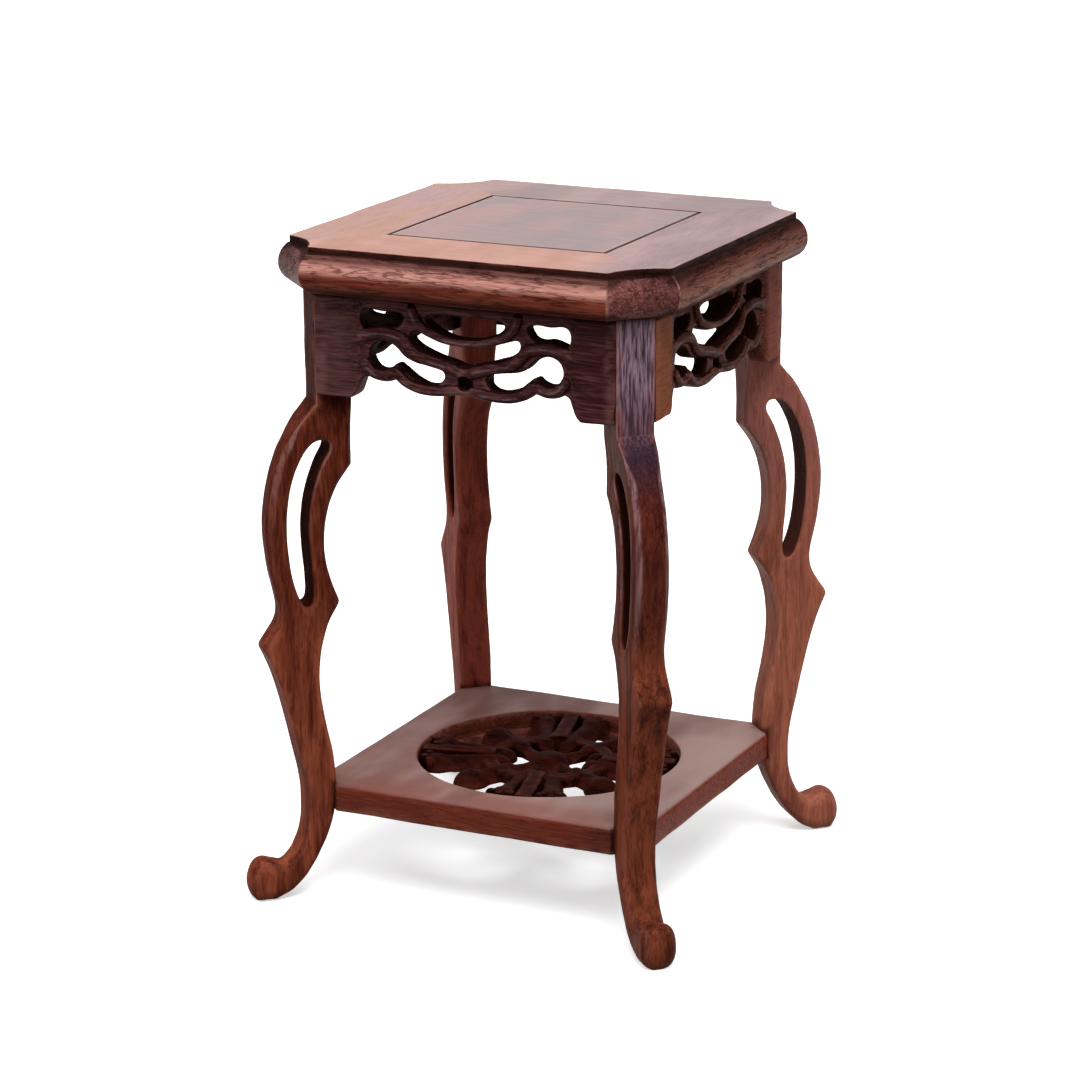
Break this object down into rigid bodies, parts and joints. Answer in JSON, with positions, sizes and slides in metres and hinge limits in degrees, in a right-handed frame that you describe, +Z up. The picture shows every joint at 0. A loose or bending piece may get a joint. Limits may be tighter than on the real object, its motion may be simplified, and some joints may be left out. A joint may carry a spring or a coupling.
{
  "type": "carved side table",
  "caption": "Small square wooden display stand with canted corners, open-work cloud aprons, cut-out curved legs and a lower shelf with a pierced carved round.",
  "frame": {"origin": "middle of the footprint on the floor", "axes": "+Z up from the floor to the top; -Y is the side that the picture shows on the left; +X is the side that it shows on the right"},
  "size_m": [0.1874, 0.1874, 0.266],
  "materials": {
    "rail_wood": "satin waxed, reddish brown",
    "panel_wood": "satin waxed, greyer brown",
    "apron_wood": "satin waxed, dark purplish brown",
    "leg_wood": "satin waxed, reddish brown with dark streaks",
    "shelf_wood": "satin waxed, mauve brown",
    "carving_wood": "satin waxed, dark purplish brown",
    "dowel_wood": "plain, unseen"
  },
  "bodies": {
    "root": {"top_panel": "panel_wood", "panel_batten": "rail_wood", "top_rail_front": "rail_wood", "top_rail_right": "rail_wood", "top_rail_back": "rail_wood", "top_rail_left": "rail_wood", "apron_front": "apron_wood", "apron_right": "apron_wood", "apron_back": "apron_wood", "apron_left": "apron_wood", "leg_front_left": "leg_wood", "leg_front_right": "leg_wood", "leg_back_right": "leg_wood", "leg_back_left": "leg_wood", "shelf_board": "shelf_wood", "shelf_medallion": "carving_wood", "shelf_dowels": "dowel_wood"}
  },
  "joints": []
}
